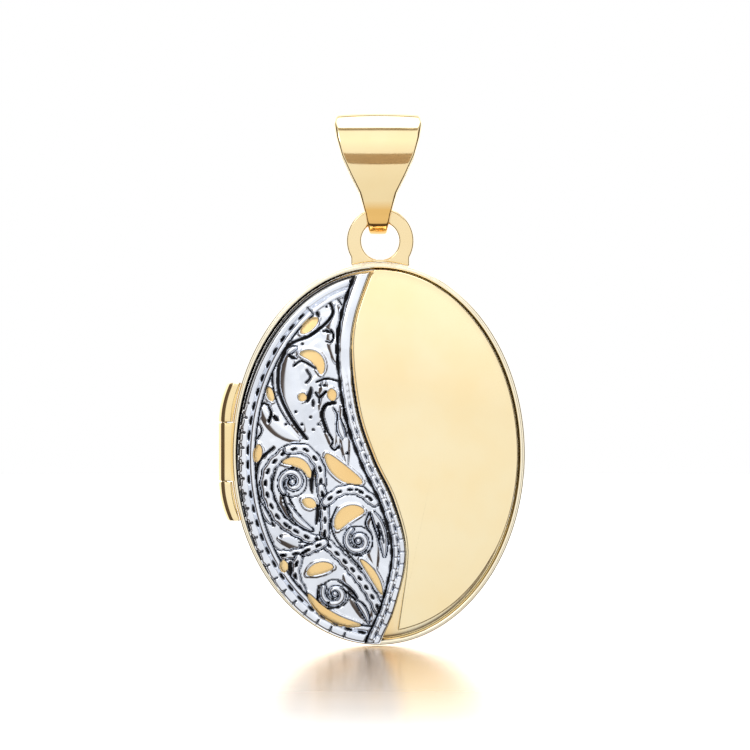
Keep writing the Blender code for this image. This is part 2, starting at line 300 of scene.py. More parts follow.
def rounded(corners, radius, steps=4, closed=True):
    """A polygon of 2-D corners, each rounded off over one length or over its own in a tuple."""
    points = []
    radii = radius if isinstance(radius, tuple) else (radius,) * len(corners)
    for i, (corner, length) in enumerate(zip(corners, radii)):
        corner = np.array(corner, float)
        if not closed and i in (0, len(corners) - 1):
            points.append(corner)
            continue
        before = np.array(corners[i - 1], float) - corner
        after = np.array(corners[(i + 1) % len(corners)], float) - corner
        start = corner + before / np.hypot(*before) * length
        end = corner + after / np.hypot(*after) * length
        for t in np.linspace(0, 1, steps + 1):
            points.append((1 - t) ** 2 * start + 2 * t * (1 - t) * corner + t**2 * end)
    return points


def dome(radius):
    return 1.0 - np.asarray(radius, float) ** DOME_POWER


def oval_radius(x, z):
    """Share of the cover's oval that a point lies at, 0 in the middle and 1 at the edge."""
    return np.hypot(x / COVER_OVAL[0], (z - CASE_Z) / COVER_OVAL[1])


def overlay_under(radius):
    """Distance of the raised sheets' underside from the opening plane."""
    on_cover = COVER_INNER_Y + COVER_SHEET + SOLDER_GAP + DOME_RISE * dome(radius)
    return np.maximum(RIM_LAP, on_cover)


# Meshes


def add_object(name, data):
    placed = bpy.data.objects.new(name, data)
    bpy.context.scene.collection.objects.link(placed)
    return placed


def loft(rings, poles=None):
    """Skin a stack of equal closed rings. The ends close on two poles, or else on each other."""
    total, count = len(rings), len(rings[0])
    verts = [tuple(point) for ring in rings for point in ring]
    faces = []
    for i in range(total if poles is None else total - 1):
        start, nxt = i * count, (i + 1) % total * count
        for j in range(count):
            k = (j + 1) % count
            faces.append((start + j, start + k, nxt + k, nxt + j))
    for pole, start in zip(poles or (), (0, (total - 1) * count)):
        verts.append(tuple(pole))
        for j in range(count):
            faces.append((start + j, start + (j + 1) % count, len(verts) - 1))
    return verts, faces


def add_piece(node, body, slot, material, verts, faces, crease=40):
    """The fine mesh that stands for a CAD node, moving with its body."""
    mesh = bpy.data.meshes.new(node + "_fine")
    mesh.from_pydata([(x * MM, y * MM, z * MM) for x, y, z in verts], [], faces)
    shape = bmesh.new()
    shape.from_mesh(mesh)
    bmesh.ops.recalc_face_normals(shape, faces=shape.faces)
    shape.to_mesh(mesh)
    shape.free()
    mesh.shade_smooth()
    mesh.set_sharp_from_angle(angle=math.radians(crease))
    mesh.materials.append(material)
    piece = add_object(node + "_fine", mesh)
    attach(piece, body)
    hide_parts(node)
    return piece


def oval_sweep(size, profile, poles=None):
    """A ring or a sheet round the case from a profile of (inset, y)."""
    return loft([oval((size[0] - inset, size[1] - inset), y) for inset, y in profile], poles)


def turned(low, high, radius, axis):
    """A round rod between two corners of its box, about X (axis 0) or Z (axis 2)."""
    corners = ((low[axis], 0), (low[axis], radius), (high[axis], radius), (high[axis], 0))
    centre = (low + high) / 2
    first, second = (k for k in range(3) if k != axis)
    a = np.arange(TURNED_STEPS) * math.tau / TURNED_STEPS
    rings = []
    for along, reach in rounded(corners, TURNED_ROUND, closed=False)[1:-1]:
        ring = np.empty((TURNED_STEPS, 3))
        ring[:, axis] = along
        ring[:, first] = centre[first] + reach * np.cos(a)
        ring[:, second] = centre[second] + reach * np.sin(a)
        rings.append(ring)
    poles = [np.where(np.arange(3) == axis, end, centre) for end in (low, high)]
    return loft(rings, poles)


# Materials

# Linear colours. A pair of tones is the usual one and the deeper one that it drifts to.
# Painted shade in the rim's groove and along the front cover's edge.
CREVICE_SHADE = (0.030, 0.022, 0.014)
# Painted shade in the filigree's cut lines.
CUT_SHADE = (0.018, 0.017, 0.018)
# The front cover's colour outside its painted shadow.
PALE_GOLD = (1.0, 0.90, 0.64)
# Painted shade on the bail's tip, where it curls into the loop.
TIP_SHADE = (0.86, 0.50, 0.13)
GOLD_TONES = ((1.0, 0.83, 0.50), (0.97, 0.76, 0.41))
RIM_TONES = ((1.0, 0.92, 0.73), (1.0, 0.89, 0.66))
PANEL_TONES = ((1.0, 0.86, 0.56), (1.0, 0.82, 0.49))
# The front cover's tones are a deeper amber as painted shadow under the filigree.
COVER_SHADOW_TONES = ((1.0, 0.73, 0.36), (0.96, 0.64, 0.27))
BAIL_TONES = ((1.0, 0.83, 0.50), (0.98, 0.77, 0.42))
LOOP_TONES = ((0.98, 0.80, 0.48), (0.96, 0.76, 0.43))
PIN_TONES = ((0.80, 0.66, 0.42), (0.70, 0.56, 0.34))
RHODIUM_TONES = ((0.87, 0.91, 0.99), (0.74, 0.78, 0.86))
CARD_TONES = ((0.86, 0.84, 0.78), (0.74, 0.71, 0.64))
CLEAR = (0.97, 0.98, 0.98, 1.0)
# Noise scales, per metre.
ALLOY_DRIFT = 260.0
SMEAR = 900.0
HAIRLINES = 1500.0
RHODIUM_DRIFT = 420.0
CAST_GRAIN = 4200.0
HANDLING_MARKS = 700.0
PAPER_FIBRES = 2600.0
# Bump depths, and where two of the golds change tone at the edge of their painted shade, in metres.
SCRATCH_DEPTH = 0.00001
FIBRE_DEPTH = 0.00003
TIP_SHADE_Z = (-0.0045, -0.0050)
SHADOW_END_X = (0.0003, 0.0018)


def set_inputs(tree, node, values):
    """Sets a node's inputs. A value that is a socket is linked to the input it names."""
    for key, value in dict(values).items():
        if isinstance(value, bpy.types.NodeSocket):
            tree.links.new(value, node.inputs[key])
        else:
            node.inputs[key].default_value = value


def add_node(tree, kind, values=(), **settings):
    node = tree.nodes.new(kind)
    for key, value in settings.items():
        setattr(node, key, value)
    set_inputs(tree, node, values)
    return node


def add_ramp(tree, factor, stops):
    ramp = add_node(tree, "ShaderNodeValToRGB", {"Fac": factor})
    elements = ramp.color_ramp.elements
    while len(elements) < len(stops):
        elements.new(1.0)
    for element, (place, colour) in zip(elements, stops):
        element.position = place
        element.color = (*colour, 1.0)
    return ramp.outputs["Color"]


def mix_colour(tree, factor, a, b):
    a, b = ((*colour, 1.0) if isinstance(colour, tuple) else colour for colour in (a, b))
    values = {0: factor, 6: a, 7: b}
    return add_node(tree, "ShaderNodeMix", values, data_type="RGBA").outputs[2]


def map_range(tree, value, low, high, to_low, to_high):
    names = ("From Min", "From Max", "To Min", "To Max")
    values = dict(zip(names, (low, high, to_low, to_high)), Value=value)
    return add_node(tree, "ShaderNodeMapRange", values).outputs["Result"]


def new_material(name):
    material = bpy.data.materials.new(name)
    material.use_nodes = True
    tree = material.node_tree
    place = add_node(tree, "ShaderNodeTexCoord").outputs["Object"]
    return material, tree, tree.nodes["Principled BSDF"], place


def coordinate(tree, place, axis):
    return add_node(tree, "ShaderNodeSeparateXYZ", {"Vector": place}).outputs[axis]


def cavity_share(tree):
    return add_node(tree, "ShaderNodeAttribute", attribute_name="cavity").outputs["Fac"]


def link_surface(tree, shader, tone, rough, height, depth, strength):
    """Links a material's colour, roughness and bump to its shader."""
    values = {"Height": height, "Distance": depth, "Strength": strength}
    normal = add_node(tree, "ShaderNodeBump", values).outputs["Normal"]
    set_inputs(tree, shader, {"Base Color": tone, "Roughness": rough, "Normal": normal})


def noise(tree, place, scale, detail=3.0, stretch=None):
    if stretch:
        mapping = add_node(tree, "ShaderNodeMapping", {"Vector": place, "Scale": stretch})
        place = mapping.outputs["Vector"]
    values = {"Vector": place, "Scale": scale, "Detail": detail}
    return add_node(tree, "ShaderNodeTexNoise", values).outputs["Fac"]


def gold_material(
    name, tones, roughness=0.10, wear=0.04, crevice_shade=False, unshaded_side=False, shaded_tip=False
):
    """Polished gold: tone drifts between two alloys, with hairline scratches and duller patches."""
    material, tree, shader, place = new_material(name)
    usual, deep = tones
    tone = add_ramp(tree, noise(tree, place, ALLOY_DRIFT), ((0.30, deep), (0.62, usual)))
    # Painted shade where the cavity attribute is set.
    if crevice_shade:
        tone = mix_colour(tree, cavity_share(tree), tone, CREVICE_SHADE)
    # Painted shade: the bail turns amber towards its tip, where it curls into the loop.
    if shaded_tip:
        share = map_range(tree, coordinate(tree, place, "Z"), *TIP_SHADE_Z, 0.0, 0.85)
        tone = mix_colour(tree, share, tone, TIP_SHADE)
    # Painted shadow: the cover is amber under the filigree and turns pale gold further right.
    if unshaded_side:
        share = map_range(tree, coordinate(tree, place, "X"), *SHADOW_END_X, 0.0, 1.0)
        tone = mix_colour(tree, share, tone, PALE_GOLD)
    smear = noise(tree, place, SMEAR, 4.0)
    rough = map_range(tree, smear, 0.35, 0.70, roughness, roughness + wear)
    hairs = noise(tree, place, HAIRLINES, 5.0, (1.0, 1.0, 9.0))
    link_surface(tree, shader, tone, rough, hairs, SCRATCH_DEPTH, 0.035)
    shader.inputs["Metallic"].default_value = 1.0
    return material


def filigree_material(name):
    """Rhodium-bright white gold whose cut lines are painted dark as shade."""
    material, tree, shader, place = new_material(name)
    cavity = cavity_share(tree)
    usual, deep = RHODIUM_TONES
    bright = add_ramp(tree, noise(tree, place, RHODIUM_DRIFT), ((0.32, deep), (0.60, usual)))
    # Painted shade in the cut lines.
    cut_shade_share = add_ramp(tree, cavity, ((0.15, (0.0, 0.0, 0.0)), (0.85, (1.0, 1.0, 1.0))))
    tone = mix_colour(tree, cut_shade_share, bright, CUT_SHADE)
    rough = map_range(tree, cavity, 0.0, 1.0, 0.13, 0.55)
    grain = noise(tree, place, CAST_GRAIN, 4.0)
    link_surface(tree, shader, tone, rough, grain, SCRATCH_DEPTH, 0.08)
    shader.inputs["Metallic"].default_value = 1.0
    return material


def window_material(name):
    """Clear sheet with a faint haze of handling marks."""
    material, tree, shader, place = new_material(name)
    marks = noise(tree, place, HANDLING_MARKS, 4.0)
    rough = map_range(tree, marks, 0.45, 0.75, 0.01, 0.06)
    values = {"Roughness": rough, "Base Color": CLEAR, "Transmission Weight": 1.0, "IOR": 1.46}
    set_inputs(tree, shader, values)
    return material


def card_material(name):
    """Matt photo card with paper fibres."""
    material, tree, shader, place = new_material(name)
    fibre = noise(tree, place, PAPER_FIBRES, 6.0, (1.0, 1.0, 3.0))
    usual, deep = CARD_TONES
    tone = add_ramp(tree, fibre, ((0.35, deep), (0.65, usual)))
    link_surface(tree, shader, tone, 0.8, fibre, FIBRE_DEPTH, 0.3)
    return material


CASE_GOLD = gold_material("case_gold", GOLD_TONES)
RIM_GOLD = gold_material("rim_gold", RIM_TONES, 0.07, 0.03, crevice_shade=True)
PANEL_GOLD = gold_material("panel_gold", PANEL_TONES, 0.07, 0.03)
COVER_GOLD = gold_material("cover_gold", COVER_SHADOW_TONES, 0.20, 0.10, crevice_shade=True, unshaded_side=True)
BAIL_GOLD = gold_material("bail_gold", BAIL_TONES, 0.08, 0.03, shaded_tip=True)
LOOP_GOLD = gold_material("loop_gold", LOOP_TONES)
INNER_GOLD = gold_material("inner_gold", GOLD_TONES, 0.16, 0.08)
PIN_METAL = gold_material("pin_metal", PIN_TONES, 0.25, 0.10)
FILIGREE_METAL = filigree_material("filigree_metal")
WINDOW_CLEAR = window_material("window_clear")
CARD_PAPER = card_material("card_paper")


# Case pieces


def add_rims():
    bore = (COVER_OVAL[0] + SOLDER_GAP, COVER_OVAL[1] + SOLDER_GAP)
    for half, size, side in (("front", FRONT_OVAL, -1), ("back", BACK_OVAL, 1)):
        node = half + "_rim"
        near, far = (side * y for y in depth_range(node))
        wall = size[0] - bore[0]
        corners = [(wall, near), (0, near), (0, far), (wall, far)]
        radii = (RIM_ROUND, BACK_RIM_ROUND, RIM_ROUND, RIM_ROUND)
        if half == "front":
            corners[3:] = [(RIM_FLAT, far), (wall, far - side * RIM_GROOVE)]
            radii = (RIM_ROUND,) * len(corners)
        mesh = oval_sweep(size, rounded(corners, radii, 5))
        piece = add_piece(node, half + "_half", "yellow_gold", RIM_GOLD, *mesh)
        # Painted shade in the rim's groove.
        paint_piece_shade(piece, groove_shade)


def paint_piece_shade(piece, rule):
    """Fills the piece's cavity attribute, which its material paints as shade, by a rule of x, y and
    z in millimetres.
    """
    points = (point.co / MM for point in piece.data.vertices)
    set_cavity(piece, [rule(*point) for point in points])


def groove_shade(x, y, z):
    """Painted shade in the front rim's groove: dark on the left, faint at the lower right."""
    if y > -RIM_LAP / 2:
        return 0.0
    share = math.hypot(x / FRONT_OVAL[0], (z - CASE_Z) / FRONT_OVAL[1])
    inset = FRONT_OVAL[0] * (1.0 - share)
    return clamp((inset - GROOVE_START) / GROOVE_FADE) * shade_round_case(x, z)


# How dark the painted shade is at a point's angle round the case.
def shade_round_case(x, z):
    degrees = math.degrees(math.atan2(z - CASE_Z, x))
    return float(np.interp(degrees, *zip(*GROOVE_SHADE)))


def set_cavity(piece, values):
    cavity = piece.data.attributes.new("cavity", "FLOAT", "POINT")
    cavity.data.foreach_set("value", np.array(values, np.float32))


def add_covers():
    for half, side, flat in (("front", -1, 0.0), ("back", 1, FLAT_RADIUS)):
        inner = []
        for share in np.linspace(DOME_START, 1.0, DOME_STEPS):
            y = COVER_INNER_Y + DOME_RISE * dome(max(share, flat))
            inner.append((share, float(y)))
        outer = [(r, y + COVER_SHEET) for r, y in reversed(inner)]
        edge_share = COVER_ROUND / COVER_OVAL[0]
        inner[-1] = (1.0 - edge_share, inner[-1][1])
        inner.append((1.0, inner[-1][1] + COVER_ROUND))
        outer[0] = (1.0, outer[0][1] - COVER_ROUND)
        outer.insert(1, (1.0 - edge_share, outer[0][1] + COVER_ROUND))
        profile = inner + outer
        sizes = [(COVER_OVAL[0] * r, COVER_OVAL[1] * r) for r, _ in profile]
        rings = [oval(size, side * y, COVER_STEPS) for size, (_, y) in zip(sizes, profile)]
        poles = [(0.0, side * profile[i][1], CASE_Z) for i in (0, -1)]
        node = half + "_cover"
        material = COVER_GOLD if half == "front" else CASE_GOLD
        piece = add_piece(node, half + "_half", "yellow_gold", material, *loft(rings, poles))
        if half == "front":
            # Painted shade along the cover's edge beside the filigree.
            paint_piece_shade(piece, cover_edge_shade)


def cover_edge_shade(x, _, z):
    """Painted shade along the front cover's edge, where it shows beside the filigree."""
    outward = clamp((float(oval_radius(x, z)) - COVER_SHADE_START) / COVER_SHADE_FADE)
    return outward * shade_round_case(x, z)


def panel_outline():
    """The panel's edge: the S-curve, the foot beside the filigree, then the oval on the right."""
    low, high = PANEL_EDGE_Z
    edge = [p for p in smooth_curve(BORDER, BORDER_STEPS) if low < p[1] < high]
    edge = np.array(edge) + (PANEL_GAP, 0.0)
    foot = bow_curve(edge[-1], PANEL_FOOT, 0.0, steps=12)[1:]
    lower = arc_curve(PANEL_LOWER_OVAL, CASE_Z, PANEL_ARC[0], 0.0, steps=104)
    upper = arc_curve(COVER_OVAL, CASE_Z, 0.0, PANEL_ARC[1], steps=116)[1:]
    drop = bow_curve(PANEL_FOOT, lower[0], 0.0, steps=24)[1:-1]
    return np.concatenate([edge, foot, drop, lower, upper])


def inward_normals(outline):
    after = np.roll(outline, -1, axis=0)
    along = after - np.roll(outline, 1, axis=0)
    along /= np.hypot(along[:, 0], along[:, 1])[:, None]
    area = np.sum(outline[:, 0] * after[:, 1] - outline[:, 1] * after[:, 0])
    return np.stack([-along[:, 1], along[:, 0]], axis=1) * math.copysign(1.0, area)


def add_plain_panel():
    outline = panel_outline()
    normals = inward_normals(outline)
    centre = np.array(PANEL_CENTRE)

    def ring(inset, share, lift):
        points = centre + (outline + normals * inset - centre) * share
        radius = oval_radius(points[:, 0], points[:, 1])
        return np.stack([points[:, 0], -(overlay_under(radius) + lift), points[:, 1]], axis=1)

    shares = np.linspace(PANEL_INNERMOST, 1.0, 22)
    rings = [ring(PANEL_ROUND, share, 0.0) for share in shares]
    for a in np.radians(np.linspace(0, 90, 6)):
        lift = PANEL_ROUND * (1 - math.cos(a)) * PANEL_UNDER_LIFT
        rings.append(ring(PANEL_ROUND * (1 - math.sin(a)), 1.0, lift))
    for a in np.radians(np.linspace(0, 90, 7)):
        lift = PANEL_SHEET - PANEL_ROUND * (1 - math.sin(a))
        rings.append(ring(PANEL_ROUND * (1 - math.cos(a)), 1.0, lift))
    shares = np.linspace(0.985, PANEL_INNERMOST, 34)
    rings += [ring(PANEL_ROUND, share, PANEL_SHEET) for share in shares]
    middle = overlay_under(oval_radius(*PANEL_CENTRE))
    poles = [(centre[0], -(middle + lift), centre[1]) for lift in (0.0, PANEL_SHEET)]
    add_piece("plain_panel", "front_half", "yellow_gold", PANEL_GOLD, *loft(rings, poles))


def add_bezel():
    low, high = (corner[1] for corner in box_mm("snap_bezel"))
    corners = ((BEZEL_WALL, low), (0, low), (0, high), (BEZEL_WALL, high))
    mesh = oval_sweep(half_sizes("snap_bezel"), rounded(corners, BEZEL_ROUND, 3))
    add_piece("snap_bezel", "back_half", "yellow_gold", INNER_GOLD, *mesh)


def add_catch_bead():
    low, high = box_mm("catch_bead")
    mesh = turned(low, high, (high[2] - low[2]) / 2, 0)
    add_piece("catch_bead", "back_half", "yellow_gold", INNER_GOLD, *mesh)


def add_photo_parts():
    for half, side in (("front", -1), ("back", 1)):
        body = half + "_half"
        node = half + "_photo_frame"
        near, far = (side * y for y in depth_range(node))
        inner = (FRAME_WIDTH, (near + far) / 2), (FRAME_WIDTH * FRAME_SLOPE, near)
        corners = (*inner, (FRAME_BEVEL, near), (0, far), (FRAME_WIDTH, far))
        mesh = oval_sweep(half_sizes(node), rounded(corners, FRAME_ROUND, 3))
        add_piece(node, body, "yellow_gold", INNER_GOLD, *mesh)
        sheets = (
            ("window", "clear_window", WINDOW_CLEAR, 0.04),
            ("card", "photo_card", CARD_PAPER, 0.02),
        )
        for kind, slot, material, edge in sheets:
            node = half + "_photo_" + kind
            size = half_sizes(node)
            near, far = (side * y for y in depth_range(node))
            inner = size[0] * SHEET_RIM
            corners = ((inner, near), (0, near), (0, far), (inner, far))
            poles = [(0.0, y, CASE_Z) for y in (near, far)]
            mesh = oval_sweep(size, rounded(corners, edge, 3, closed=False), poles)
            add_piece(node, body, slot, material, *mesh)


# Hinge


def knuckle_corners(rim, tab_side):
    """Cross-section about the pin: a lapped front face, a bevel, a narrow side and a round back."""
    face, bevel, edge_shadow = (0.04, -KNUCKLE_FLAT), (-0.17, -0.17), (-0.32, 0.08)
    back = [(math.radians(a), KNUCKLE_RADIUS) for a in range(155, 55, -20)]
    corners = [face, bevel, edge_shadow] + [(r * math.cos(a), r * math.sin(a)) for a, r in back]
    near, far = TAB_Y
    if tab_side > 0:
        return corners + [(rim, far), (rim, near), (0.33, 0.02), (0.36, -KNUCKLE_FLAT)]
    return corners + [(0.33, 0.05), (rim, -near), (rim, -far), (0.34, -KNUCKLE_FLAT)]


def knuckle_ring(height, shrink, side, reach_oval, radius=None):
    """Outline of a knuckle at one height, or of its bore if a radius is given."""
    from_middle = max(0.0, abs(height - HINGE_Z) - MIDDLE_HALF_LENGTH)
    centre = HINGE_X + KNUCKLE_BEND * from_middle**2
    drop = (height - CASE_Z) / reach_oval[1]
    rim = -reach_oval[0] * math.sqrt(1.0 - drop**2) - SOLDER_GAP
    points = []
    for x, y in rounded(knuckle_corners(rim - centre, side), KNUCKLE_ROUND, 3):
        if radius:
            turn = math.atan2(y, x)
            points.append((HINGE_X + radius * math.cos(turn), radius * math.sin(turn), height))
        else:
            keep = 1.0 - shrink / KNUCKLE_RADIUS * (x < KNUCKLE_RADIUS)
            points.append((centre + x * keep, y * keep, height))
    return points


def add_knuckles():
    knuckles = (
        ("hinge_knuckle_upper", "back_half", 1, BACK_OVAL),
        ("hinge_knuckle_lower", "back_half", 1, BACK_OVAL),
        ("hinge_knuckle_middle", "front_half", -1, FRONT_OVAL),
    )
    for node, body, side, reach_oval in knuckles:
        low, high = (float(corner[2]) for corner in box_mm(node))
        ease = KNUCKLE_EASE
        stations = [(low, ease), (low + 0.4 * ease, 0.3 * ease)]
        stations += [(z, 0.0) for z in np.linspace(low + ease, high - ease, KNUCKLE_STEPS)]
        stations += [(high - 0.4 * ease, 0.3 * ease), (high, ease)]
        rings = [knuckle_ring(z, shrink, side, reach_oval) for z, shrink in stations]
        if node == "hinge_knuckle_middle":
            rings += [knuckle_ring(z, 0, side, reach_oval, BORE_RADIUS) for z in (high, low)]
            mesh = loft(rings)
        else:
            upper = node == "hinge_knuckle_upper"
            if upper:
                rings.reverse()
            mouth = low if upper else high
            blind = HINGE_Z + (BORE_HALF_LENGTH if upper else -BORE_HALF_LENGTH)
            rings += [knuckle_ring(z, 0, side, reach_oval, BORE_RADIUS) for z in (mouth, blind)]
            far = high if upper else low
            far_centre = np.mean(np.array(rings[0]), axis=0)
            mesh = loft(rings, [(far_centre[0], far_centre[1], far), (HINGE_X, 0.0, blind)])
        add_piece(node, body, "yellow_gold", CASE_GOLD, *mesh, 30)


def add_pin():
    low, high = box_mm("hinge_pin")
    mesh = turned(low, high, (high[1] - low[1]) / 2, 2)
    add_piece("hinge_pin", "back_half", "hinge_pin_metal", PIN_METAL, *mesh)


# Hanging loop and bail


def loop_reach(angle):
    """Distance from the loop's centre to its outline: a round head on a foot on the oval."""
    dx, dz = math.cos(angle), math.sin(angle)
    reach = LOOP_RADIUS
    if dz < 0:
        if abs(dx) < LOOP_FOOT / LOOP_RADIUS:
            reach = LOOP_FOOT / max(abs(dx), 1e-6)
        wide, tall = BACK_OVAL[0] + SOLDER_GAP, BACK_OVAL[1] + SOLDER_GAP
        above = LOOP_Z - CASE_Z
        a = (dx / wide) ** 2 + (dz / tall) ** 2
        b = 2 * (LOOP_X * dx / wide**2 + above * dz / tall**2)
        c = (LOOP_X / wide) ** 2 + (above / tall) ** 2 - 1
        inside = b * b - 4 * a * c
        if inside > 0:
            reach = min(reach, (-b - math.sqrt(inside)) / (2 * a))
    return reach


def add_hanging_loop():
    front, back = depth_range("hanging_loop")
    rings = []
    for i in range(LOOP_STEPS):
        angle = math.tau * (i + 0.5) / LOOP_STEPS
        across, up = math.cos(angle), math.sin(angle)
        far = loop_reach(angle)
        corners = ((LOOP_HOLE, front), (far, front), (far, back), (LOOP_HOLE, back))
        section = rounded(corners, LOOP_ROUND)
        rings.append([(LOOP_X + r * across, y, LOOP_Z + r * up) for r, y in section])
    add_piece("hanging_loop", "back_half", "yellow_gold", LOOP_GOLD, *loft(rings), 50)


def bail_path():
    """Side view of the bail's middle line as (y, z): a round eye, two leaves and the apex."""
    eye = []
    for degrees in range(90, -91, -30):
        a = math.radians(degrees)
        eye.append((SWING_Y + EYE_RADIUS * math.sin(a), SWING_Z - EYE_RADIUS * math.cos(a)))
    path = eye + list(FRONT_LEAF) + [(0.0, APEX_SHEET / 2)] + list(REAR_LEAF)
    return smooth_curve(path, BAIL_STEPS, closed=True)


def strip_section(half_width, sheet, crown):
    """The strip's cross-section as (across, lift): its outside, an edge, its inside, an edge."""
    edge = min(BAIL_ROUND, 0.42 * sheet)
    flat = half_width - edge
    section = []
    for side in (1, -1):
        across = np.linspace(-flat, flat, STRIP_STEPS)[::side]
        section += [(x, side * sheet / 2 - crown * (x / half_width) ** 2) for x in across]
        middle = -crown * (flat / half_width) ** 2
        for degrees in (75, 55, 35, 0, -35, -55, -75):
            a = math.radians(degrees)
            straight = math.copysign(sheet / 2 - edge, degrees) if degrees else 0.0
            lift = middle + side * (math.sin(a) * edge + straight)
            section.append((side * (flat + edge * math.cos(a)), lift))
    return section


def add_bail():
    path = bail_path()
    widths, halves = zip(*BAIL_HALF_WIDTHS)
    rings = []
    for i, point in enumerate(path):
        along = path[(i + 1) % len(path)] - path[i - 1]
        along /= np.hypot(*along)
        half_width = float(np.interp(point[1], widths, halves))
        share = clamp((point[1] - SWING_Z) / (APEX_SHEET / 2 - SWING_Z))
        sheet = EYE_SHEET + (APEX_SHEET - EYE_SHEET) * share
        crown = BAIL_CROWN * half_width / BAIL_HALF_WIDTHS[-2][1]
        section = strip_section(half_width, sheet, crown)
        rings.append([(x, point[0] - along[1] * n, point[1] + along[0] * n) for x, n in section])
    add_piece("bail", "bail", "yellow_gold", BAIL_GOLD, *loft(rings), 50)


# Filigree relief. Openings: base, tip, bow of the middle line, half width.
OPENINGS = (
    ((-4.25, -11.85), (-3.35, -11.05), 0.05, 0.26),
    ((-4.3, -13.0), (-3.15, -14.1), 0.42, 0.27),
    ((-6.1, -14.85), (-5.85, -15.6), 0.0, 0.17),
    ((-4.4, -15.3), (-4.0, -15.5), 0.0, 0.20),
    ((-2.6, -14.95), (-2.5, -15.55), 0.0, 0.22),
    ((-6.6, -18.05), (-6.75, -19.0), 0.0, 0.22),
    ((-5.3, -19.0), (-3.75, -19.85), 0.42, 0.22),
    ((-2.85, -18.55), (-0.9, -20.1), -0.24, 0.36),
    ((-2.25, -22.7), (-0.8, -21.7), 0.38, 0.38),
    ((-4.15, -21.1), (-3.45, -21.4), 0.0, 0.24),
    ((-5.25, -24.45), (-5.2, -25.1), 0.0, 0.20),
    ((-3.9, -25.2), (-2.5, -24.8), 0.14, 0.28),
    ((-0.95, -24.4), (0.2, -26.3), 0.14, 0.17),
    ((-3.9, -26.3), (-0.95, -28.05), -0.45, 0.24),
)
# Smooth swellings that the rest is cut over: base, tip, bow, half width.
SWELLS = (
    ((-4.1, -17.7), (-4.9, -12.8), 0.30, 0.62),
    ((-2.3, -13.6), (-2.3, -10.2), 0.10, 0.50),
    ((-4.3, -17.8), (-6.5, -15.9), 0.25, 0.50),
    ((-2.4, -18.3), (-3.0, -14.4), 0.10, 0.50),
    ((-1.7, -19.2), (-1.95, -15.4), 0.05, 0.34),
    ((-3.0, -9.3), (-1.8, -9.9), 0.10, 0.40),
    ((-3.9, -23.0), (-5.2, -20.4), 0.25, 0.50),
    ((-5.6, -23.2), (-3.2, -23.9), 0.10, 0.50),
    ((-0.1, -25.0), (-0.2, -21.6), 0.15, 0.42),
    ((-4.9, -25.4), (-4.1, -27.0), 0.10, 0.40),
    ((-1.9, -25.2), (-0.5, -27.9), 0.15, 0.60),
)
# Beaded bands: half width, then the points of the middle line.
BEADED = (
    (
        0.30,
        ((-5.0, -18.3), (-6.0, -19.3), (-6.2, -20.5), (-5.5, -22.1), (-4.0, -23.1), (-3.0, -23.4)),
    ),
    (0.27, ((-5.0, -18.3), (-4.0, -18.3), (-3.25, -19.2), (-3.15, -20.4))),
    (0.24, ((-3.15, -20.4), (-2.95, -21.6), (-2.95, -23.3))),
    (0.28, ((-2.9, -21.2), (-2.1, -20.6), (-1.1, -20.55), (-0.2, -21.2))),
    (0.29, ((-2.95, -23.4), (-2.0, -24.3), (-1.1, -25.3), (-0.35, -26.4), (0.1, -27.3))),
    (0.26, ((-6.6, -23.2), (-5.6, -24.1), (-4.3, -24.0), (-3.0, -23.45))),
    (0.24, ((-4.4, -24.3), (-4.6, -25.2), (-4.15, -26.3))),
)
# Scrolls: centre, outer radius, turns, start in degrees, hand, half width of the strand.
SCROLLS = (
    ((-4.75, -20.1), 0.74, 1.25, -130, -1, 0.19),
    ((-1.1, -23.35), 0.74, 1.25, 120, 1, 0.19),
    ((-2.4, -26.3), 0.72, 1.1, 150, 1, 0.21),
)
# Leaves: base, tip, bow, half width. Later ones lie over earlier ones.
LEAVES = (
    ((-1.85, -17.7), (-2.15, -16.5), 0.08, 0.20),
    ((-5.05, -13.0), (-4.45, -12.65), 0.08, 0.17),
    ((-5.0, -21.3), (-3.5, -22.8), -0.22, 0.22),
    ((-5.9, -22.4), (-6.5, -21.2), 0.10, 0.16),
    ((-0.35, -21.7), (0.35, -24.3), 0.22, 0.28),
    ((-4.4, -23.5), (-3.4, -23.9), 0.05, 0.15),
    ((-1.2, -26.7), (-0.5, -28.0), 0.12, 0.18),
)
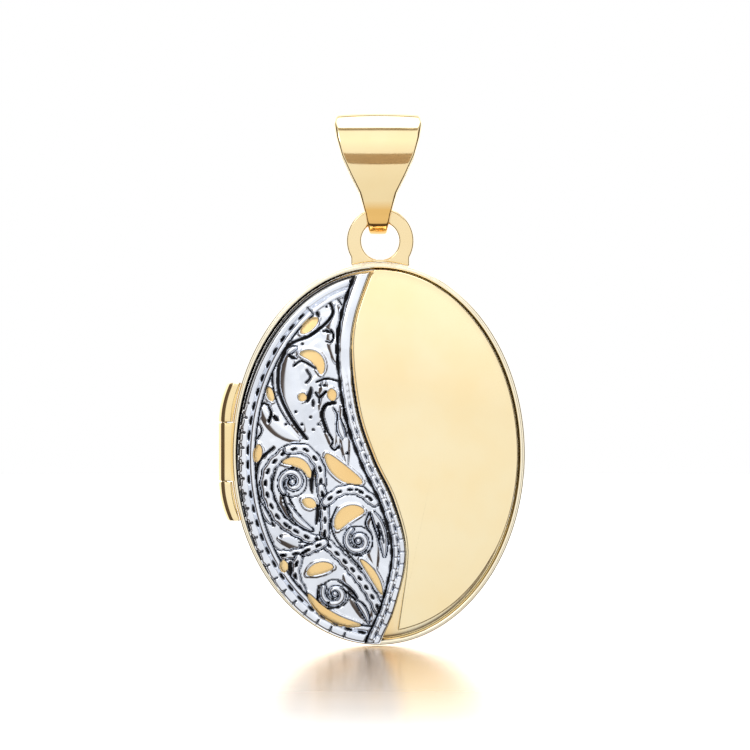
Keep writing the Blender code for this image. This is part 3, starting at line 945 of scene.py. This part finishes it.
# Cut lines: half width, then the points of the line.
CUTS = (
    (
        0.10,
        ((-2.7, -10.1), (-2.5, -10.7), (-2.9, -11.3), (-3.8, -12.0), (-4.9, -12.5), (-5.5, -13.6)),
    ),
    (0.11, ((-5.5, -13.6), (-5.5, -15.0), (-4.9, -16.4), (-3.95, -17.7))),
    (0.045, ((-5.75, -13.4), (-5.85, -14.6), (-5.5, -15.9), (-4.9, -16.9))),
    (0.07, ((-3.4, -10.15), (-3.05, -10.05), (-2.85, -10.4))),
    (0.045, ((-2.45, -9.7), (-2.2, -10.0), (-2.0, -10.3))),
    (0.06, ((-2.35, -9.5), (-2.0, -9.35), (-1.65, -9.5))),
    (0.05, ((-2.9, -12.3), (-2.6, -12.35), (-2.45, -12.0), (-2.6, -11.7))),
    (0.07, ((-4.65, -13.65), (-4.2, -13.4), (-3.45, -13.8))),
    (0.07, ((-3.95, -13.9), (-3.75, -14.3), (-4.0, -14.6))),
    (0.07, ((-3.4, -14.55), (-2.85, -14.37), (-2.25, -14.5))),
    (0.08, ((-3.45, -15.15), (-3.25, -15.4), (-2.9, -15.1))),
    (0.11, ((-2.4, -15.7), (-2.9, -15.85), (-3.1, -16.4), (-2.85, -17.2))),
    (0.05, ((-2.85, -17.2), (-2.5, -17.8), (-2.65, -18.1))),
    (0.05, ((-2.45, -16.0), (-2.25, -16.4), (-2.3, -16.9))),
    (0.06, ((-2.6, -18.15), (-2.4, -18.3), (-2.15, -18.1))),
    (0.08, ((-6.6, -15.9), (-6.35, -15.75), (-6.05, -15.85))),
    (0.09, ((-6.05, -15.95), (-5.92, -16.3), (-6.05, -16.75))),
    (0.06, ((-6.85, -16.6), (-6.45, -17.2), (-6.7, -17.7))),
    (0.10, ((-5.8, -18.2), (-6.6, -19.0), (-6.75, -20.2), (-6.4, -21.6), (-5.8, -22.5))),
    (0.05, ((-5.65, -19.4), (-5.85, -20.5), (-5.3, -21.8), (-4.6, -22.5))),
    (0.05, ((-2.3, -21.5), (-2.6, -22.4), (-2.3, -23.3), (-1.7, -24.0), (-0.9, -24.9))),
    (0.05, ((-0.5, -21.8), (-0.7, -22.4), (-0.4, -22.9))),
    (0.06, ((-3.3, -25.9), (-3.35, -26.6), (-2.9, -27.1), (-2.2, -27.0))),
)
# Cut accents: base, tip, bow, half width.
SLITS = (
    ((-3.7, -14.8), (-3.95, -15.7), 0.05, 0.14),
    ((-3.6, -15.5), (-3.6, -15.95), 0.0, 0.09),
    ((-3.25, -15.3), (-3.25, -15.8), 0.0, 0.08),
    ((-5.25, -20.8), (-4.75, -21.9), -0.10, 0.07),
    ((-4.95, -20.7), (-4.6, -21.5), -0.08, 0.06),
    ((-3.5, -19.3), (-3.65, -20.75), -0.10, 0.14),
    ((-3.35, -21.3), (-3.45, -22.5), 0.05, 0.13),
    ((-6.15, -24.0), (-5.8, -23.4), 0.0, 0.11),
    ((-4.9, -24.5), (-4.9, -25.4), 0.05, 0.13),
    ((-4.3, -24.1), (-3.8, -23.8), 0.0, 0.09),
    ((-2.25, -25.6), (-1.1, -26.6), 0.14, 0.09),
    ((-2.1, -25.95), (-1.15, -26.75), 0.05, 0.06),
    ((-6.6, -22.9), (-6.4, -23.3), 0.0, 0.12),
    ((-3.5, -10.45), (-3.25, -11.0), 0.0, 0.11),
    ((-2.9, -9.85), (-2.65, -9.4), 0.0, 0.11),
    ((-2.95, -11.65), (-2.65, -11.85), 0.0, 0.12),
    ((-4.95, -13.1), (-4.5, -13.3), 0.0, 0.11),
    ((-5.75, -16.4), (-5.55, -16.75), 0.0, 0.15),
    ((-0.1, -22.4), (0.1, -23.3), 0.06, 0.06),
)
# Punched dots: centre x, centre z.
DOTS = (
    (-4.2, -12.45), (-3.0, -11.75), (-3.2, -14.75), (-2.95, -14.75), (-4.55, -16.2), (-3.75, -16.5),
    (-4.2, -16.9), (-4.75, -16.6), (-3.6, -17.2), (-3.3, -16.9), (-2.95, -17.3), (-2.2, -18.2),
    (-1.7, -18.5), (-5.1, -16.9), (-4.9, -22.6), (-5.4, -23.1), (-3.4, -23.2), (-1.8, -24.9),
    (-2.75, -26.8), (-2.2, -27.0), (-4.8, -26.0), (-5.4, -25.7), (-0.6, -20.9), (-1.2, -20.5),
)


class Relief:
    """Height of the filigree sheet and its cavities on a grid of (x, z) points."""

    def __init__(self, low, high):
        self.xs = np.arange(low[0], high[0] + GRID, GRID)
        self.zs = np.arange(low[1], high[1] + GRID, GRID)
        self.x, self.z = np.meshgrid(self.xs, self.zs, indexing="ij")
        across = np.sin(7.1 * self.x + 2.0 * np.sin(3.3 * self.z))
        down = np.sin(6.3 * self.z + 2.0 * np.sin(4.1 * self.x))
        self.height = GROUND + RIPPLE * (across + down)
        self.cavity = np.zeros(self.x.shape)
        self.solid = np.full(self.x.shape, np.inf)

    def near(self, line, reach):
        """Distance to a line and length along it at each grid point, and the line's length."""
        distance = np.full(self.x.shape, np.inf)
        along = np.zeros(self.x.shape)
        start = 0.0
        for a, b in zip(line[:-1], line[1:]):
            length = math.dist(a, b)
            if length < 1e-6:
                continue
            low, high = np.minimum(a, b) - reach, np.maximum(a, b) + reach
            columns = slice(*np.searchsorted(self.xs, (low[0], high[0])))
            rows = slice(*np.searchsorted(self.zs, (low[1], high[1])))
            window = (columns, rows)
            dx, dz = self.x[window] - a[0], self.z[window] - a[1]
            ux, uz = (b[0] - a[0]) / length, (b[1] - a[1]) / length
            t = np.clip(dx * ux + dz * uz, 0.0, length)
            off = np.hypot(dx - t * ux, dz - t * uz)
            closer = off < distance[window]
            distance[window][closer] = off[closer]
            along[window][closer] = (start + t)[closer]
            start += length
        return distance, along, start

    def cut_line(self, distance, half_width, depth=1.0):
        """A rounded groove where distance is small, painted dark as shade."""
        share = np.clip(1.0 - distance / half_width, 0.0, 1.0)
        bowl = np.sqrt(share * (2.0 - share)) * depth
        self.height = np.where(share > 0, self.height + (FLOOR - self.height) * bowl, self.height)
        self.cavity = np.maximum(self.cavity * (share < 0.3), np.clip(share * 2.2, 0, 1) * depth)

    def paint(self, distance, width, top=TOP, flatness=0.5):
        """A rounded strand on top of what is there, outlined by a cut line."""
        line = (distance >= width) & (distance < width + OUTLINE) & (width > 0.02)
        self.height[line] = FLOOR
        # The outline is painted dark as shade.
        self.cavity[line] = OUTLINE_SHADE
        inside = distance < width
        share = distance[inside] / width[inside]
        crown = (1.0 - share**2) ** flatness
        self.height[inside] = STRAND_FOOT + (top - STRAND_FOOT) * crown
        # Painted shade darkens the strand towards its edge.
        self.cavity[inside] = np.clip((share - 0.85) * 2.0, 0.0, 0.3)

    def strand(self, line, half_width, shape):
        """A strand along a line, whose width shape gives. Returns distance and share of length."""
        distance, along, length = self.near(line, half_width + 2 * OUTLINE)
        self.paint(distance, half_width * shape(along / length))
        return distance, along / length

    def beaded(self, points, half_width):
        """A flat band with scalloped edges and a row of cut pits down its middle."""
        line = smooth_curve(points, LINE_STEPS)
        distance, along, length = self.near(line, half_width + 2 * OUTLINE)
        beads = max(round(length / BEAD_PITCH), 1)
        turn = math.tau * along / length * beads
        self.paint(distance, half_width * (0.93 - 0.09 * np.cos(turn)), 0.37, 0.3)
        pit = np.hypot(distance / PIT_RADIUS, (1.0 + np.cos(turn)) / 1.15)
        self.cut_line(pit, 1.0)

    def lens_share(self, base, tip, bow, half_width):
        """0 on the middle line of a bowed lens and 1 at its edge."""
        distance, along, length = self.near(bow_curve(base, tip, bow), half_width)
        return distance / np.maximum(half_width * lens(along / length), LEAST_WIDTH)

    def swell(self, *middle):
        """A soft rise with no outline."""
        share = np.clip(1.0 - self.lens_share(*middle) ** 2, 0.0, 1.0)
        self.height = np.maximum(self.height, GROUND + (TOP - GROUND) * share)

    def slit(self, *middle):
        """A dark cut that is widest in the middle."""
        self.cut_line(self.lens_share(*middle), 1.0)

    def scroll(self, centre, radius, turns, start, hand, half_width):
        """A coiled strand on a low disc, with a round eye."""
        disc = np.hypot(self.x - centre[0], self.z - centre[1])
        self.paint(disc, np.full(disc.shape, radius + OUTLINE), 0.26, 0.2)
        line = spiral_curve(centre, radius, turns, start, hand)
        self.strand(line, half_width, lambda share: 0.7 + 0.3 * share)
        self.paint(disc, np.full(disc.shape, EYE))

    def leaf(self, base, tip, bow, half_width):
        """A pointed leaf. Only a wide one has a vein."""
        distance, share = self.strand(bow_curve(base, tip, bow), half_width, blade)
        if half_width > VEINED_FROM:
            vein = np.where((share > 0.25) & (share < 0.70), distance, np.inf)
            self.cut_line(vein, 0.04, 0.7)


def lens(share):
    return np.clip(np.sin(math.pi * np.clip(share, 0.0, 1.0)), 0.0, 1.0) ** 0.55


def blade(share):
    return np.sin(math.pi * np.clip(share, 0.0, 1.0) ** 0.75) ** 0.7


def filigree_outline():
    border = smooth_curve(BORDER, BORDER_STEPS)
    arc = arc_curve(FILIGREE_OVAL, FILIGREE_Z, *FILIGREE_ARC, steps=320)
    return border, arc


def inside_polygon(x, z, outline):
    inside = np.zeros(x.shape, bool)
    for (ax, az), (bx, bz) in zip(outline, np.roll(outline, -1, axis=0)):
        if az == bz:
            continue
        crosses = (az > z) != (bz > z)
        inside ^= crosses & (x < (bx - ax) * (z - az) / (bz - az) + ax)
    return inside


def convex(distance, middle, half_width):
    return np.sqrt(np.clip(1.0 - ((distance - middle) / half_width) ** 2, 0.0, 1.0))


def where(shown, distance):
    """The distance where shown holds, and too far to cut anywhere else."""
    return np.where(shown, distance, np.inf)


def engrave_rim_border(relief, arc):
    """The milled outer border: two rails, nubs on the left with a painted shadow line between them
    at the outer edge, a row of dots and a closing line.
    """
    edge, along, length = relief.near(arc, BAND_REACH)
    share = along / length
    turn = along / RIM_PITCH
    bead = np.cos(math.tau * turn)
    band = edge < RIM_BAND
    rise = np.maximum(convex(edge, 0.28, 0.28), 0.85 * convex(edge, 0.80, 0.17))
    relief.height[band] = (0.22 + 0.19 * rise)[band]
    relief.cavity[band] = 0.0
    # Painted shadow in the gap between the rim and the sheet, broken by the nubs.
    edge_shadow = 0.17 * np.clip((share - 0.18) / 0.15, 0.0, 1.0)
    between_nubs = (bead > -0.70) | (share > NUBS_END)
    relief.cut_line(where(between_nubs, edge / np.maximum(edge_shadow, LEAST_WIDTH)), 1.0)
    beside_nub = np.abs((turn + 0.37) % 1.0 - 0.5) * RIM_PITCH
    on_left = (edge < 0.36) & (share < NUBS_END) & (share > 0.05)
    relief.cut_line(where(on_left, beside_nub), 0.05, 0.7)
    stretch = 1.25 + 0.7 * np.clip(1.0 - np.abs(share - 0.55) / 0.12, 0.0, 1.0)
    dots = np.hypot((edge - 0.58) / PIT_RADIUS, (1.0 - bead) / stretch)
    relief.cut_line(where(share < BAND_END - 0.015, dots), 1.0)
    relief.cut_line(where(share < BAND_END, np.abs(edge - RIM_BAND)), 0.05, 0.9)
    across = (edge > 0.42) & (edge < RIM_BAND)
    relief.cut_line(where(across, np.abs(share - BAND_END) * length), 0.05, 0.8)


def engrave_inner_band(relief, border):
    """The band along the S-shaped edge: plain at the top, then two rows of blocks with dashes, and a
    painted shadow along the edge.
    """
    edge, along, length = relief.near(border, BAND_REACH)
    band = edge < BORDER_BAND
    split = np.clip((along - 4.5) / 2.0, 0.0, 1.0)
    rails = np.maximum(convex(edge, 0.22, 0.22), convex(edge, 0.57, 0.17))
    plain = convex(edge, BORDER_BAND / 2, BORDER_BAND / 2)
    rise = np.maximum(rails * split, plain * (1.0 - split))
    relief.height[band] = (0.24 + 0.17 * rise)[band]
    relief.cavity[band] = 0.0
    for low, high, shift in ((0.02, 0.38, 0.0), (0.42, 0.72, 0.5)):
        joint = np.abs((along / BLOCK_PITCH + shift) % 1.0 - 0.5) * BLOCK_PITCH
        in_row = (edge > low) & (edge < high) & (along > 9.0)
        relief.cut_line(where(in_row, joint), 0.035, 0.35)
    wave = (1.0 + np.cos(math.tau * along / BLOCK_PITCH)) / 1.2
    dash = np.hypot((edge - 0.42) / 0.045, wave)
    relief.cut_line(where(along > 7.5, dash), 1.0, 0.75)
    ragged = 1.0 + 0.35 * np.cos(math.tau * along / 0.9)
    thick = BORDER_LINE / 2 * ragged * np.clip(2.2 - along / 12, 0.6, 1.0)
    relief.cut_line(np.abs(edge - BORDER_BAND - 0.06) / (thick + 0.02), 1.0)
    # Painted shadow along the S-shaped edge, where the sheet stands over the plain panel.
    shade = 0.17 * np.clip(np.minimum(along - 3.5, length - 5.0 - along) / 3.0, 0.0, 1.0)
    relief.cut_line(edge / np.maximum(shade, LEAST_WIDTH), 1.0)


def cut_openings(relief):
    """Raises the openings' lips. Returns each grid point's distance outside the nearest one."""
    outside = np.full(relief.x.shape, np.inf)
    for base, tip, bow, half_width in OPENINGS:
        line = bow_curve(base, tip, bow)
        distance, along, length = relief.near(line, half_width + 0.6)
        outside = np.minimum(outside, distance - half_width * lens(along / length))
    lip = outside < LIP_WIDTH
    raised = 0.24 + 0.14 * convex(outside, LIP_WIDTH / 2, LIP_WIDTH / 2)
    relief.height[lip] = np.maximum(relief.height, raised)[lip]
    return outside


def sculpt_filigree():
    """The relief of the whole sheet, with solid positive on the metal, in millimetres."""
    border, arc = filigree_outline()
    outline = np.concatenate([border, arc])
    margin = 3 * GRID
    relief = Relief(outline.min(axis=0) - margin, outline.max(axis=0) + margin)
    for swell in SWELLS:
        relief.swell(*swell)
    openings = cut_openings(relief)
    for half_width, points in CUTS:
        line = smooth_curve(points, LINE_STEPS)
        relief.cut_line(relief.near(line, half_width)[0], half_width)
    for leaf in LEAVES:
        relief.leaf(*leaf)
    for scroll in SCROLLS:
        relief.scroll(*scroll)
    for half_width, points in BEADED:
        relief.beaded(points, half_width)
    for slit in SLITS:
        relief.slit(*slit)
    for x, z in DOTS:
        relief.cut_line(np.hypot(relief.x - x, relief.z - z), DOT_RADIUS)
    engrave_rim_border(relief, arc)
    engrave_inner_band(relief, border)
    edge = relief.near(np.concatenate([outline, outline[:1]]), 0.5)[0]
    edge = np.minimum(edge, 0.5)
    sheet = np.where(inside_polygon(relief.x, relief.z, outline), edge, -edge)
    relief.solid = np.minimum(sheet, openings)
    fall = np.clip(1.0 - relief.solid / EDGE_ROUND, 0.0, 1.0)
    relief.height -= (relief.height - FLOOR) * (1.0 - np.sqrt(1.0 - fall**2)) * 0.8
    relief.height = np.clip(relief.height, FLOOR, FILIGREE_SHEET)
    return relief


class SheetMesh:
    """The front and back of a sheet over the grid cells where relief.solid is positive."""

    def __init__(self, relief):
        self.relief = relief
        self.points = []
        self.cavity = []
        self.faces = []
        self.made = {}
        self.walls = []

    def point(self, key, x, z, height, cavity):
        """Index of the front point; the back point has the next one."""
        if key not in self.made:
            self.made[key] = len(self.points)
            under = float(overlay_under(oval_radius(x, z)))
            self.points += [(x, -(under + height), z), (x, -under, z)]
            self.cavity += [cavity, cavity]
        return self.made[key]

    def corner(self, i, j):
        relief = self.relief
        grids = (relief.x, relief.z, relief.height, relief.cavity)
        return self.point((i, j), *(grid[i, j] for grid in grids))

    def crossing(self, inside, outside):
        """The point between two grid corners where the metal ends."""
        relief = self.relief
        a, b = relief.solid[inside], relief.solid[outside]
        t = min(max(a / (a - b), CORNER_MARGIN), 1.0 - CORNER_MARGIN)
        x = relief.x[inside] + t * (relief.x[outside] - relief.x[inside])
        z = relief.z[inside] + t * (relief.z[outside] - relief.z[inside])
        # Points on the wall where the metal ends carry painted shade.
        return self.point((inside, outside), x, z, FLOOR, WALL_SHADE)

    def add_cell(self, i, j):
        """The metal's share of one grid cell, and its wall where the metal ends inside it."""
        corners = [(i, j), (i + 1, j), (i + 1, j + 1), (i, j + 1)]
        solid = self.relief.solid
        ring = []
        for k, here in enumerate(corners):
            there = corners[(k + 1) % 4]
            if solid[here] > 0:
                ring.append((self.corner(*here), False))
            if (solid[here] > 0) != (solid[there] > 0):
                pair = (here, there) if solid[here] > 0 else (there, here)
                ring.append((self.crossing(*pair), solid[here] > 0))
        front = [index for index, _ in ring]
        self.faces.append(tuple(front))
        self.faces.append(tuple(index + 1 for index in reversed(front)))
        for k, (index, leaves) in enumerate(ring):
            if leaves:
                nxt = ring[(k + 1) % len(ring)][0]
                self.walls.append((index + 1, nxt + 1, nxt, index))

    def build(self):
        solid = self.relief.solid > 0
        quads = np.stack([solid[:-1, :-1], solid[1:, :-1], solid[1:, 1:], solid[:-1, 1:]])
        for i, j in zip(*np.nonzero(quads.any(axis=0))):
            self.add_cell(int(i), int(j))
        return self.points, self.faces + self.walls


def add_filigree():
    sheet = SheetMesh(sculpt_filigree())
    mesh = sheet.build()
    piece = add_piece("filigree_panel", "front_half", "white_gold", FILIGREE_METAL, *mesh, 75)
    set_cavity(piece, sheet.cavity)


# Stage: table, card, world, lights and camera

FLOOR_DROP = 0.02
TABLE_RADIUS = 400.0
TABLE_SIDES = 96
# The table is painted a warm tone near the locket, a painted reflection and shadow of the locket,
# and turns white away from it. Distances in metres are from the frame's origin, and the colours are
# linear.
TABLE_FADE = (0.030, 0.064)
TABLE_PAINTED_REFLECTION = (0.80, 0.62, 0.43)
TABLE_WHITE = (0.96, 0.96, 0.96)
TABLE_REFLECTION_TINT = (1.0, 0.82, 0.64, 1.0)
TABLE_REFLECTION_METAL = 0.75
CARD_CORNERS = ((-4, -6, -3.65), (4, -6, -3.65), (4, -6, -1.42), (-4, -6, -1.42))
CARD_COLOUR = (0.40, 0.31, 0.23, 1.0)
STUDIO_WHITE = (1.0, 1.0, 1.0)
# Brightness round the tent: share of the way from the front to the back, linear colour.
SIDE_STOPS = (
    (0.0, (0.96, 0.96, 0.96)),
    (0.28, (0.93, 0.92, 0.90)),
    (0.33, (0.12, 0.09, 0.07)),
    (0.60, (0.05, 0.037, 0.03)),
    (0.66, (1.2, 1.18, 1.16)),
    (0.9, (1.3, 1.3, 1.3)),
    (1.0, (2.4, 2.4, 2.4)),
)
# Brightness overhead: share of the way from the horizon up to the zenith, linear colour.
TOP_STOPS = (
    (0.0, (1.12, 1.12, 1.12)),
    (0.57, (1.12, 1.12, 1.12)),
    (0.59, (0.34, 0.28, 0.20)),
    (0.645, (0.34, 0.28, 0.20)),
    (0.665, (2.4, 2.4, 2.4)),
)
TOP_BLEND = (0.42, 0.55)
DISTANCE = 232.3
LENS = 200.0
SENSOR = 36.0
VIEW_X = -0.17
VIEW_Z = -14.17
CLIP_START = 0.01
CLIP_END = 10.0


def add_stage_mesh(name, corners, material):
    """A flat piece of the studio, from corners in millimetres."""
    mesh = bpy.data.meshes.new(name)
    verts = [(x * MM, y * MM, z * MM) for x, y, z in corners]
    mesh.from_pydata(verts, [], [tuple(range(len(verts)))])
    mesh.materials.append(material)
    return add_object(name, mesh)


def add_floor():
    """A large pale glossy table under the locket, kept out of the metal's reflections, with a
    painted reflection and shadow of the locket near it.
    """
    material, tree, shader, place = new_material("table_white")
    rough = map_range(tree, noise(tree, place, 60.0), 0.3, 0.7, 0.15, 0.19)
    length = add_node(tree, "ShaderNodeVectorMath", {0: place}, operation="LENGTH")
    away = map_range(tree, length.outputs["Value"], *TABLE_FADE, 0.0, 1.0)
    # Painted reflection and shadow: warm, metallic and tinted near the locket, plain white further
    # off.
    values = {
        "Roughness": rough,
        "Base Color": mix_colour(tree, away, TABLE_PAINTED_REFLECTION, TABLE_WHITE),
        "Metallic": map_range(tree, away, 0.0, 1.0, TABLE_REFLECTION_METAL, 0.0),
        "Specular IOR Level": map_range(tree, away, 0.0, 1.0, 0.5, 0.0),
        "Specular Tint": TABLE_REFLECTION_TINT,
    }
    set_inputs(tree, shader, values)
    height = float(box_mm("back_rim")[0][2]) - FLOOR_DROP
    turns = np.arange(TABLE_SIDES) * math.tau / TABLE_SIDES
    rim = [(TABLE_RADIUS * math.cos(a), TABLE_RADIUS * math.sin(a), height) for a in turns]
    table = add_stage_mesh("table", rim, material)
    table.visible_glossy = False


def add_card():
    """A brown card in front of the bail that is seen only in reflections."""
    material, tree, shader, place = new_material("bail_card")
    fade = map_range(tree, noise(tree, place, 40.0), 0.3, 0.7, 0.8, 0.9)
    values = {"Roughness": fade, "Base Color": CARD_COLOUR, "Specular IOR Level": 0.0}
    set_inputs(tree, shader, values)
    card = add_stage_mesh("bail_card", CARD_CORNERS, material)
    card.visible_camera = False
    card.visible_shadow = False
    card.visible_diffuse = False


def math_node(tree, operation, *values):
    node = add_node(tree, "ShaderNodeMath", dict(enumerate(values)), operation=operation)
    return node.outputs[0]


def add_world():
    """A tent that is white ahead and behind, dark at its sides and with a dark seam high up."""
    world = bpy.data.worlds.new("studio")
    bpy.context.scene.world = world
    world.use_nodes = True
    tree = world.node_tree
    way = add_node(tree, "ShaderNodeTexCoord").outputs["Generated"]
    part = add_node(tree, "ShaderNodeSeparateXYZ", {"Vector": way}).outputs
    ahead = math_node(tree, "MULTIPLY", part["Y"], -1.0)
    turn = math_node(tree, "ARCCOSINE", ahead)
    round_share = map_range(tree, turn, 0.0, math.pi, 0.0, 1.0)
    low_level = map_range(tree, part["Z"], -0.65, 0.0, 0.96, 1.02)
    high_level = map_range(tree, part["Z"], 0.1, 0.5, 0.0, 0.22)
    level = math_node(tree, "ADD", low_level, high_level)
    around = add_ramp(tree, round_share, SIDE_STOPS)
    sides = add_node(tree, "ShaderNodeVectorMath", {0: around, "Scale": level}, operation="SCALE")
    up = math_node(tree, "ARCSINE", part["Z"])
    up_share = map_range(tree, up, 0.0, math.pi / 2, 0.0, 1.0)
    rise = map_range(tree, up_share, *TOP_BLEND, 0.0, 1.0)
    overhead = add_ramp(tree, up_share, TOP_STOPS)
    tent = mix_colour(tree, rise, sides.outputs["Vector"], overhead)
    seen = add_node(tree, "ShaderNodeLightPath").outputs["Is Camera Ray"]
    colour = mix_colour(tree, seen, tent, STUDIO_WHITE)
    set_inputs(tree, tree.nodes["Background"], {"Color": colour, "Strength": 1.0})


def add_light(name, place, size, watts, in_metal=True):
    """An area light aimed at the case. The place is in millimetres and the size in metres."""
    lamp = bpy.data.lights.new(name, "AREA")
    lamp.size = size
    lamp.energy = watts
    light = add_object(name, lamp)
    light.location = [value * MM for value in place]
    target = Vector((0.0, 0.0, CASE_Z * MM))
    light.rotation_euler = (target - light.location).to_track_quat("-Z", "Y").to_euler()
    light.visible_glossy = in_metal


def add_camera():
    """A long lens level with the middle of the view, looking along +Y."""
    lens_data = bpy.data.cameras.new("camera")
    lens_data.lens = LENS
    lens_data.sensor_width = SENSOR
    lens_data.clip_start = CLIP_START
    lens_data.clip_end = CLIP_END
    camera = add_object("camera", lens_data)
    camera.location = (VIEW_X * MM, -DISTANCE * MM, VIEW_Z * MM)
    camera.rotation_euler = (math.pi / 2, 0.0, 0.0)
    bpy.context.scene.camera = camera


add_rims()
add_covers()
add_plain_panel()
add_bezel()
add_catch_bead()
add_photo_parts()
add_knuckles()
add_pin()
add_hanging_loop()
add_bail()
add_filigree()
add_floor()
add_card()
add_world()
add_light("key", (-160, -220, 170), 0.12, 0.10)
add_light("table_fill", (0, -60, 420), 0.6, 1.1, in_metal=False)
add_camera()
bpy.context.scene.view_settings.view_transform = "Standard"

bpy.context.view_layer.update()
